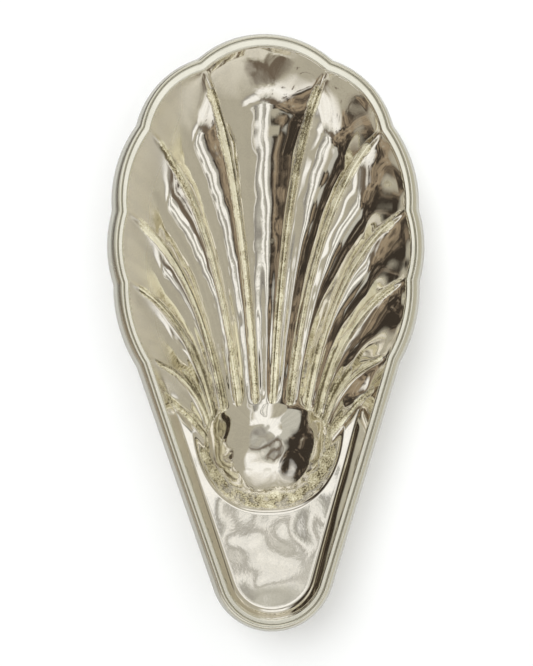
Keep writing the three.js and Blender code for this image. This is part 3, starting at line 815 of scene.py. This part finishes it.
def make_foot(name, node, underside):
    """A smooth ball foot where the node stands, with its neck let into the sheet."""
    low, high = (np.array(corner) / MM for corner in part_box(node))
    x, y = (low[:2] + high[:2]) / 2
    ball_radii, ball_heights = ball_profile()
    neck_start = ball_heights[-1]
    angles = np.arange(FOOT_CUTS) * 2 * math.pi / FOOT_CUTS
    spin = np.stack((np.cos(angles), np.sin(angles)), 1)
    level = heights_near(underside, [(x, y)])[0]
    top_radius = FOOT_NECK_RADIUS + FOOT_FLARE * max(0.0, level - neck_start)
    tops = heights_near(underside, (x, y) + spin * top_radius) + SHEET / 2
    up_neck = mix(neck_start, tops[:, None], np.linspace(0, 1, FOOT_NECK_CUTS)[1:])
    neck_radii = FOOT_NECK_RADIUS + FOOT_FLARE * (up_neck - neck_start)
    ball_shape = FOOT_CUTS, len(ball_radii)
    radii = np.concatenate((np.broadcast_to(ball_radii, ball_shape), neck_radii), 1)
    heights = np.concatenate((np.broadcast_to(ball_heights, ball_shape), up_neck), 1)
    points = with_heights(spin[:, None] * radii[..., None] + (x, y), heights)
    vertices = np.vstack((points.reshape(-1, 3), (x, y, 0.0), (x, y, tops.min())))
    rows = radii.shape[1]
    poles = FOOT_CUTS * rows
    faces = ring_quads(FOOT_CUTS, rows, 0, True).tolist()
    for i in range(FOOT_CUTS):
        j = (i + 1) % FOOT_CUTS
        faces.append((poles, j * rows, i * rows))
        faces.append((poles + 1, (i + 1) * rows - 1, (j + 1) * rows - 1))
    return new_mesh(name, vertices, faces)


# Materials

class Nodes:
    """Short way to add nodes and join them."""

    def __init__(self, tree):
        self.tree = tree
        tree.nodes.clear()

    def give(self, socket, value):
        """Joins another socket to a socket, or sets its value."""
        if isinstance(value, bpy.types.NodeSocket):
            self.tree.links.new(value, socket)
        else:
            socket.default_value = value

    def add(self, kind, inputs=None, **settings):
        node = self.tree.nodes.new(kind)
        for key, value in settings.items():
            setattr(node, key, value)
        for key, value in (inputs or {}).items():
            self.give(node.inputs[key], value)
        return node

    def math(self, operation, *values):
        return self.add("ShaderNodeMath", dict(enumerate(values)), operation=operation).outputs[0]

    def plus(self, value, extra, share):
        """A value and a share of another one."""
        return self.math("ADD", value, self.math("MULTIPLY", extra, share))

    def between(self, value, start, end, low=0.0, high=1.0):
        """Low up to the start, high from the end on."""
        inputs = {"Value": value, "From Min": start, "From Max": end, "To Min": low, "To Max": high}
        return self.add("ShaderNodeMapRange", inputs).outputs["Result"]

    def attribute(self, name):
        """A value of the mesh, 0 where the mesh has none of that name."""
        return self.add("ShaderNodeAttribute", attribute_name=name).outputs["Fac"]

    def noise(self, place, scale, detail, roughness=0.5, distortion=0.0):
        inputs = {"Vector": place, "Scale": scale, "Detail": detail, "Roughness": roughness,
                  "Distortion": distortion}
        return self.add("ShaderNodeTexNoise", inputs).outputs["Fac"]

    def centred(self, noise):
        """Noise about 0 instead of 0.5."""
        return self.math("SUBTRACT", noise, 0.5)

    def blend(self, factor, a, b):
        """Colour a where the factor is 0, colour b where it is 1."""
        node = self.add("ShaderNodeMix", data_type="RGBA")
        for key, value in (("Factor_Float", factor), ("A_Color", a), ("B_Color", b)):
            socket = next(s for s in node.inputs if s.identifier == key)
            self.give(socket, (*value, 1.0) if isinstance(value, tuple) else value)
        return next(s for s in node.outputs if s.identifier == "Result_Color")

    def ramp(self, factor, stops):
        node = self.add("ShaderNodeValToRGB", {"Fac": factor})
        elements = node.color_ramp.elements
        while len(elements) < len(stops):
            elements.new(0.5)
        for element, (position, colour) in zip(elements, stops):
            element.position = position
            element.color = (*colour, 1.0)
        return node.outputs["Color"]


# Colours of the plate, of its faint tarnish and of the painted reflections and painted shade on it
SILVER = (0.93, 0.90, 0.82)
BORDER_SILVER = (0.94, 0.925, 0.81)
# Faint tarnish of the bowl and its painted reflections and rib highlights, from bright to dark
BRIGHT_TARNISH_AND_PAINTED_REFLECTION = (1.0, 0.955, 0.75)
GOLD_TARNISH_AND_PAINTED_REFLECTION = (0.64, 0.58, 0.39)
DARK_TARNISH_AND_PAINTED_REFLECTION = (0.16, 0.13, 0.07)
# Painted shade on the border's roll and in its crease; the roll's colour is also the faint tarnish of the
# border and the feet
TARNISH_AND_PAINTED_SHADE_SILVER = (0.45, 0.438, 0.39)
PAINTED_CREASE_SHADE_SILVER = (0.30, 0.287, 0.24)

# Noises of the plate: scale and detail
CLOUD_NOISE = (120.0, 4.0)
GRAIN_NOISE = (1000.0, 3.0)
SPECK_NOISE = (1900.0, 2.0)
MOTTLE_NOISE = (220.0, 4.0)

# How the noises make the tarnish and the painted reflections and shade. Their tone goes from dark by two
# stops of the middle colour to bright.
RAGGED_EDGE = (0.36, 0.60)
CLOUD_TARNISH = 0.15
SPECK_SHARE = 1.2
MOTTLE_SHARE = 1.1
TONE_MIDDLE = 0.43
TONE_STOPS = (0.26, 0.42, 0.55, 0.68)
ROUGHNESS_SPREAD = (0.6, 1.4)
GRAIN_HEIGHT = 0.004

# Roughness of the polish on each piece, and what the painted reflections and painted shade have of metal,
# of coarse grain and of raggedness
BOWL_ROUGHNESS = 0.05
BOWL_PAINTED_REFLECTION_METAL = 0.25
BOWL_KEYED_GRAIN = 0.15
BOWL_PAINTED_REFLECTION_RAGGED = 1.1
BORDER_ROUGHNESS = 0.24
BORDER_PAINTED_SHADE_METAL = 0.22
FOOT_ROUGHNESS = 0.12
FOOT_PAINTED_SHADE_METAL = 1.0


def silver(name, polished, roughness, painted_light_key, tarnish_and_painted_colours, painted_light_metal, keyed_grain=0.0, ragged=0.0):
    """Silver plate, faintly tarnished all over, with painted light where the mesh has the key (painted
    reflections on the bowl, painted shade on the border): in other colours, with less metal.
    """
    material = bpy.data.materials.new(name)
    material.use_nodes = True
    nodes = Nodes(material.node_tree)
    place = nodes.add("ShaderNodeTexCoord").outputs["Object"]
    cloud = nodes.noise(place, *CLOUD_NOISE)
    grain = nodes.noise(place, *GRAIN_NOISE)
    speck = nodes.noise(place, *SPECK_NOISE)
    blotch = nodes.centred(nodes.noise(place, *MOTTLE_NOISE))
    key = nodes.attribute(painted_light_key)
    if ragged:
        key = nodes.between(nodes.plus(key, blotch, ragged), *RAGGED_EDGE)
    # Faint random tarnish, and painted light where the key is
    tarnish_and_painted_light = nodes.math("MAXIMUM", nodes.math("MULTIPLY", cloud, CLOUD_TARNISH), key)
    tone = nodes.plus(nodes.math("MULTIPLY", speck, SPECK_SHARE), blotch, MOTTLE_SHARE)
    tone = nodes.math("ADD", tone, nodes.attribute("tone"))
    tone = nodes.math("ADD", tone, TONE_MIDDLE - SPECK_SHARE / 2)
    dark, middle, bright = tarnish_and_painted_colours
    tarnish_and_painted_colour = nodes.ramp(tone, list(zip(TONE_STOPS, (dark, middle, middle, bright))))
    colour = nodes.blend(tarnish_and_painted_light, polished, tarnish_and_painted_colour)
    metal = nodes.between(key, 0.0, 1.0, 1.0, painted_light_metal)
    smoothest, roughest = (roughness * share for share in ROUGHNESS_SPREAD)
    rough = nodes.between(cloud, 0.0, 1.0, smoothest, roughest)
    rough = nodes.plus(rough, nodes.attribute("satin"), SATIN_ROUGHNESS)
    coarse = nodes.math("MULTIPLY", nodes.math("MULTIPLY", speck, key), keyed_grain)
    bump = nodes.add("ShaderNodeBump", {
        "Height": nodes.plus(coarse, grain, GRAIN_HEIGHT), "Strength": 1.0, "Distance": MM})
    shader = nodes.add("ShaderNodeBsdfPrincipled", {
        "Base Color": colour, "Metallic": metal, "Roughness": rough, "Normal": bump.outputs["Normal"]})
    nodes.add("ShaderNodeOutputMaterial", {"Surface": shader.outputs["BSDF"]})
    return material


def bowl_silver():
    # The grain key marks the painted reflections and the coarse grain
    colours = DARK_TARNISH_AND_PAINTED_REFLECTION, GOLD_TARNISH_AND_PAINTED_REFLECTION, BRIGHT_TARNISH_AND_PAINTED_REFLECTION
    return silver("bowl_silver", SILVER, BOWL_ROUGHNESS, "grain", colours, BOWL_PAINTED_REFLECTION_METAL,
                  BOWL_KEYED_GRAIN, BOWL_PAINTED_REFLECTION_RAGGED)


def border_silver():
    # The painted shade key darkens the roll and the crease
    colours = PAINTED_CREASE_SHADE_SILVER, TARNISH_AND_PAINTED_SHADE_SILVER, TARNISH_AND_PAINTED_SHADE_SILVER
    return silver("border_silver", BORDER_SILVER, BORDER_ROUGHNESS, "painted_shade", colours, BORDER_PAINTED_SHADE_METAL)


def foot_silver():
    # The feet have no painted shade key, so only faint tarnish shows on them
    colours = TARNISH_AND_PAINTED_SHADE_SILVER, TARNISH_AND_PAINTED_SHADE_SILVER, TARNISH_AND_PAINTED_SHADE_SILVER
    return silver("foot_silver", SILVER, FOOT_ROUGHNESS, "painted_shade", colours, FOOT_PAINTED_SHADE_METAL)


def finish_piece(piece, material, slot, *nodes):
    piece.data.materials.append(material)
    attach(piece, "root")
    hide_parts(*nodes)


# Stage
FLOOR_HALF_SIZE = 3000.0
FLOOR_WHITE = (0.93, 0.93, 0.93, 1.0)
FLOOR_ROUGHNESS = 0.9


def make_floor():
    half = FLOOR_HALF_SIZE
    corners = [(-half, -half, 0), (half, -half, 0), (half, half, 0), (-half, half, 0)]
    floor = new_mesh("floor", corners, [(0, 1, 2, 3)])
    material = bpy.data.materials.new("floor_white")
    material.use_nodes = True
    shader = material.node_tree.nodes["Principled BSDF"]
    shader.inputs["Base Color"].default_value = FLOOR_WHITE
    shader.inputs["Roughness"].default_value = FLOOR_ROUGHNESS
    shader.inputs["Specular IOR Level"].default_value = 0.0
    floor.data.materials.append(material)


# Colours of the studio that the polish mirrors
WHITE = (1.0, 0.992, 0.985)
LIGHT = (0.80, 0.775, 0.73)
HORIZON = (0.72, 0.69, 0.62)
CREAM = (0.68, 0.655, 0.585)
SOFT_GREY = (0.55, 0.54, 0.495)
PALE = (0.45, 0.422, 0.35)
GREY = (0.34, 0.325, 0.30)
TAN = (0.34, 0.27, 0.19)
UMBER_GREY = (0.30, 0.272, 0.23)
DARK_GREY = (0.15, 0.14, 0.125)
BROWN = (0.155, 0.122, 0.092)
DARK = (0.045, 0.036, 0.028)
OFF = (0.0, 0.0, 0.0)
ON = (1.0, 1.0, 1.0)

# Noises of the studio: scale, detail, roughness and distortion
WOBBLE_NOISE = (5.0, 3.0)
PATCH_NOISE = (7.0, 6.0, 0.65)
SWIRL_NOISE = (9.0, 3.0, 0.5, 1.5)
TILT_WOBBLE = 0.10
TURN_WOBBLE = 0.15
TORN_SHARE = 0.28
STRIPE_SWIRL = 0.25

# Overhead, by direction: stripes from left to right, and rings round a direction near straight up
STRIPES_X = (-0.5, 0.5)
STRIPES = [
    (0.0, BROWN), (0.11, BROWN), (0.14, DARK), (0.19, DARK), (0.24, GREY), (0.34, SOFT_GREY), (0.37, WHITE),
    (0.46, WHITE), (0.51, GREY), (0.61, SOFT_GREY), (0.64, WHITE), (0.71, WHITE), (0.75, SOFT_GREY),
    (0.83, GREY), (0.87, DARK_GREY), (0.89, CREAM), (0.92, CREAM), (0.97, PALE)]
RINGS_CENTRE_X = 0.09
RINGS_FROM_Y = (-0.06, -0.015)
RINGS_END_Y = (0.12, 0.2)
RINGS = [
    (0.0, LIGHT), (0.005, WHITE), (0.011, WHITE), (0.015, SOFT_GREY), (0.019, WHITE), (0.026, WHITE),
    (0.030, SOFT_GREY), (0.034, GREY), (0.039, GREY), (0.043, LIGHT), (0.046, WHITE), (0.053, WHITE),
    (0.060, SOFT_GREY), (0.070, DARK_GREY), (0.080, WHITE), (0.20, WHITE), (0.26, LIGHT), (0.33, PALE)]
BELOW_OVERHEAD = [(0.27, OFF), (0.29, ON)]

# Sides of the studio by tilt, which is 0 straight up and 1 at the horizon
RIGHT_SIDE = [(0.28, WHITE), (0.31, PALE), (0.90, PALE), (0.95, HORIZON)]
STREAKY_SIDE = [
    (0.30, GREY), (0.34, PALE), (0.40, PALE), (0.43, WHITE), (0.50, WHITE), (0.54, GREY), (0.60, PALE),
    (0.95, HORIZON)]
ENDS_NEAR_TOP = [
    (0.27, WHITE), (0.31, SOFT_GREY), (0.36, GREY), (0.41, BROWN), (0.45, SOFT_GREY), (0.50, LIGHT)]
TONGUE_END = ENDS_NEAR_TOP + [
    (0.56, WHITE), (0.64, LIGHT), (0.69, PALE), (0.74, UMBER_GREY), (0.81, BROWN), (0.89, BROWN),
    (0.94, PALE), (0.97, HORIZON)]
FAN_END = ENDS_NEAR_TOP + [(0.55, WHITE), (0.72, WHITE), (0.80, LIGHT), (0.90, PALE), (0.97, HORIZON)]
LIT_SIDE = [(0.28, BROWN), (0.42, BROWN), (0.48, LIGHT), (0.60, WHITE), (0.72, LIGHT), (0.80, PALE)]
NEAR_HORIZON = [(0.90, OFF), (0.96, ON)]
LEFT_GREY_TILT = (0.50, 0.44)
LEFT_GREY_Y = (0.03, 0.08)

# Patches on its sides by their noise
UMBER_PATCHES = [(0.53, DARK), (0.58, BROWN), (0.64, BROWN), (0.68, PALE)]
OCHRE_PATCHES = [(0.38, DARK), (0.46, BROWN), (0.54, TAN), (0.62, TAN), (0.66, PALE)]
LIT_SIDE_PATCHES = [(0.36, ON), (0.42, OFF)]

# Where round the dish each next side fades in: -0.5 is the tongue, 0 the left and 0.5 the fan's top
FIRST_SIDE = "right"
NEXT_SIDES = (
    ("streaky", -0.90, -0.82),
    ("tongue_end", -0.66, -0.60),
    ("lit", -0.44, -0.38),
    ("warm", -0.24, -0.19),
    ("left", -0.06, 0.02),
    ("fan_end", 0.36, 0.42),
    ("right", 0.60, 0.66),
)


def overhead_colour(nodes, way, axes):
    """Stripes on the tongue's side, for the fan to mirror, and rings on the fan's side, for the tongue."""
    swirl = nodes.centred(nodes.noise(way, *SWIRL_NOISE))
    across = nodes.between(nodes.plus(axes["X"], swirl, STRIPE_SWIRL), *STRIPES_X)
    stripes = nodes.ramp(across, STRIPES)
    aside = nodes.math("SUBTRACT", axes["X"], RINGS_CENTRE_X)
    squares = nodes.plus(nodes.math("MULTIPLY", aside, aside), axes["Y"], axes["Y"])
    rings = nodes.ramp(nodes.math("SQRT", squares), RINGS)
    rings = nodes.blend(nodes.between(axes["Y"], *RINGS_END_Y), rings, WHITE)
    return nodes.blend(nodes.between(axes["Y"], *RINGS_FROM_Y), stripes, rings)


def side_colours(nodes, way, axes, tilt):
    """The colours of the studio's sides, by name."""
    patches = nodes.noise(way, *PATCH_NOISE)
    torn = nodes.plus(tilt, nodes.centred(patches), TORN_SHARE)
    near_horizon = nodes.ramp(tilt, NEAR_HORIZON)
    left = nodes.blend(near_horizon, nodes.ramp(patches, UMBER_PATCHES), PALE)
    high = nodes.between(tilt, *LEFT_GREY_TILT)
    to_fan = nodes.between(axes["Y"], *LEFT_GREY_Y)
    lit_patches = nodes.ramp(patches, LIT_SIDE_PATCHES)
    return {
        "right": nodes.ramp(tilt, RIGHT_SIDE),
        "streaky": nodes.ramp(tilt, STREAKY_SIDE),
        "tongue_end": nodes.ramp(torn, TONGUE_END),
        "lit": nodes.blend(lit_patches, nodes.ramp(tilt, LIT_SIDE), BROWN),
        "warm": nodes.blend(near_horizon, nodes.ramp(patches, OCHRE_PATCHES), PALE),
        "left": nodes.blend(nodes.math("MULTIPLY", high, to_fan), left, SOFT_GREY),
        "fan_end": nodes.ramp(torn, FAN_END),
    }


def make_world():
    """A plain studio, painted by direction."""
    world = bpy.data.worlds.new("studio")
    world.use_nodes = True
    bpy.context.scene.world = world
    nodes = Nodes(world.node_tree)
    way = nodes.add("ShaderNodeTexCoord").outputs["Generated"]
    axes = nodes.add("ShaderNodeSeparateXYZ", {"Vector": way}).outputs
    wobble = nodes.centred(nodes.noise(way, *WOBBLE_NOISE))
    tilt = nodes.math("DIVIDE", nodes.math("ARCCOSINE", axes["Z"]), math.pi / 2)
    tilt = nodes.plus(tilt, wobble, TILT_WOBBLE)
    turn = nodes.math("ARCTAN2", axes["Y"], nodes.math("MULTIPLY", axes["X"], -1.0))
    turn = nodes.plus(nodes.math("DIVIDE", turn, math.pi), wobble, TURN_WOBBLE)
    sides = side_colours(nodes, way, axes, tilt)
    colour = sides[FIRST_SIDE]
    for side, start, end in NEXT_SIDES:
        colour = nodes.blend(nodes.between(turn, start, end), colour, sides[side])
    colour = nodes.blend(nodes.ramp(tilt, BELOW_OVERHEAD), overhead_colour(nodes, way, axes), colour)
    background = nodes.add("ShaderNodeBackground", {"Color": colour, "Strength": 1.0})
    nodes.add("ShaderNodeOutputWorld", {"Surface": background.outputs["Background"]})


# Lamps: width in metres, watts, place in metres and colour
KEY_LAMP = (0.8, 12.0, (-0.52, 0.60, 1.5), (0.96, 0.98, 1.0))
FILL_LAMP = (2.5, 17.5, (0.0, 0.0, 2.0), (0.86, 0.93, 1.0))


def add_lamp(name, size, energy, location, colour):
    """A round soft lamp aimed at the dish, which its polish doesn't mirror."""
    lamp = bpy.data.lights.new(name, "AREA")
    lamp.shape = "DISK"
    lamp.size = size
    lamp.energy = energy
    lamp.color = colour
    holder = bpy.data.objects.new(name, lamp)
    holder.location = location
    holder.rotation_euler = (-Vector(location)).to_track_quat("-Z", "Y").to_euler()
    holder.visible_glossy = False
    bpy.context.scene.collection.objects.link(holder)


# Camera: nearly straight above, a little towards the left side of the dish
CAMERA_HEIGHT = 320.0
CAMERA_YAW = math.radians(5.0)
CAMERA_ROLL = math.radians(0.9)
CAMERA_SHIFT_X = 0.85
AIM_Z = FLANGE_Z - BORDER_SKIRT
PHOTO_WIDTH = 533
PHOTO_MM_PER_PIXEL = 190.0 / 596.0


def make_camera():
    turn = Matrix.Rotation(CAMERA_ROLL, 3, "Z") @ Matrix.Rotation(CAMERA_YAW, 3, "Y")
    back = turn.transposed()
    place = back @ Vector((-CAMERA_SHIFT_X, 0.0, CAMERA_HEIGHT)) + Vector((0.0, 0.0, AIM_Z))
    data = bpy.data.cameras.new("camera")
    data.sensor_fit = "HORIZONTAL"
    data.lens = data.sensor_width * CAMERA_HEIGHT / PHOTO_MM_PER_PIXEL / PHOTO_WIDTH
    camera = bpy.data.objects.new("camera", data)
    camera.matrix_world = Matrix.Translation(place * MM) @ back.to_4x4()
    bpy.context.scene.collection.objects.link(camera)
    bpy.context.scene.camera = camera


# The whole scene
columns = Columns()
bowl, underside = make_bowl(columns)
finish_piece(bowl, bowl_silver(), "bowl_plate", "shell_bowl")
finish_piece(make_border(columns), border_silver(), "border_plate", "rim_border")
feet_material = foot_silver()
for side in FEET:
    node = f"ball_foot_{side}"
    foot = make_foot(f"foot_{side}", node, underside)
    finish_piece(foot, feet_material, "foot_plate", node)
make_floor()
make_world()
add_lamp("key", *KEY_LAMP)
add_lamp("fill", *FILL_LAMP)
make_camera()
bpy.context.scene.view_settings.view_transform = "Standard"
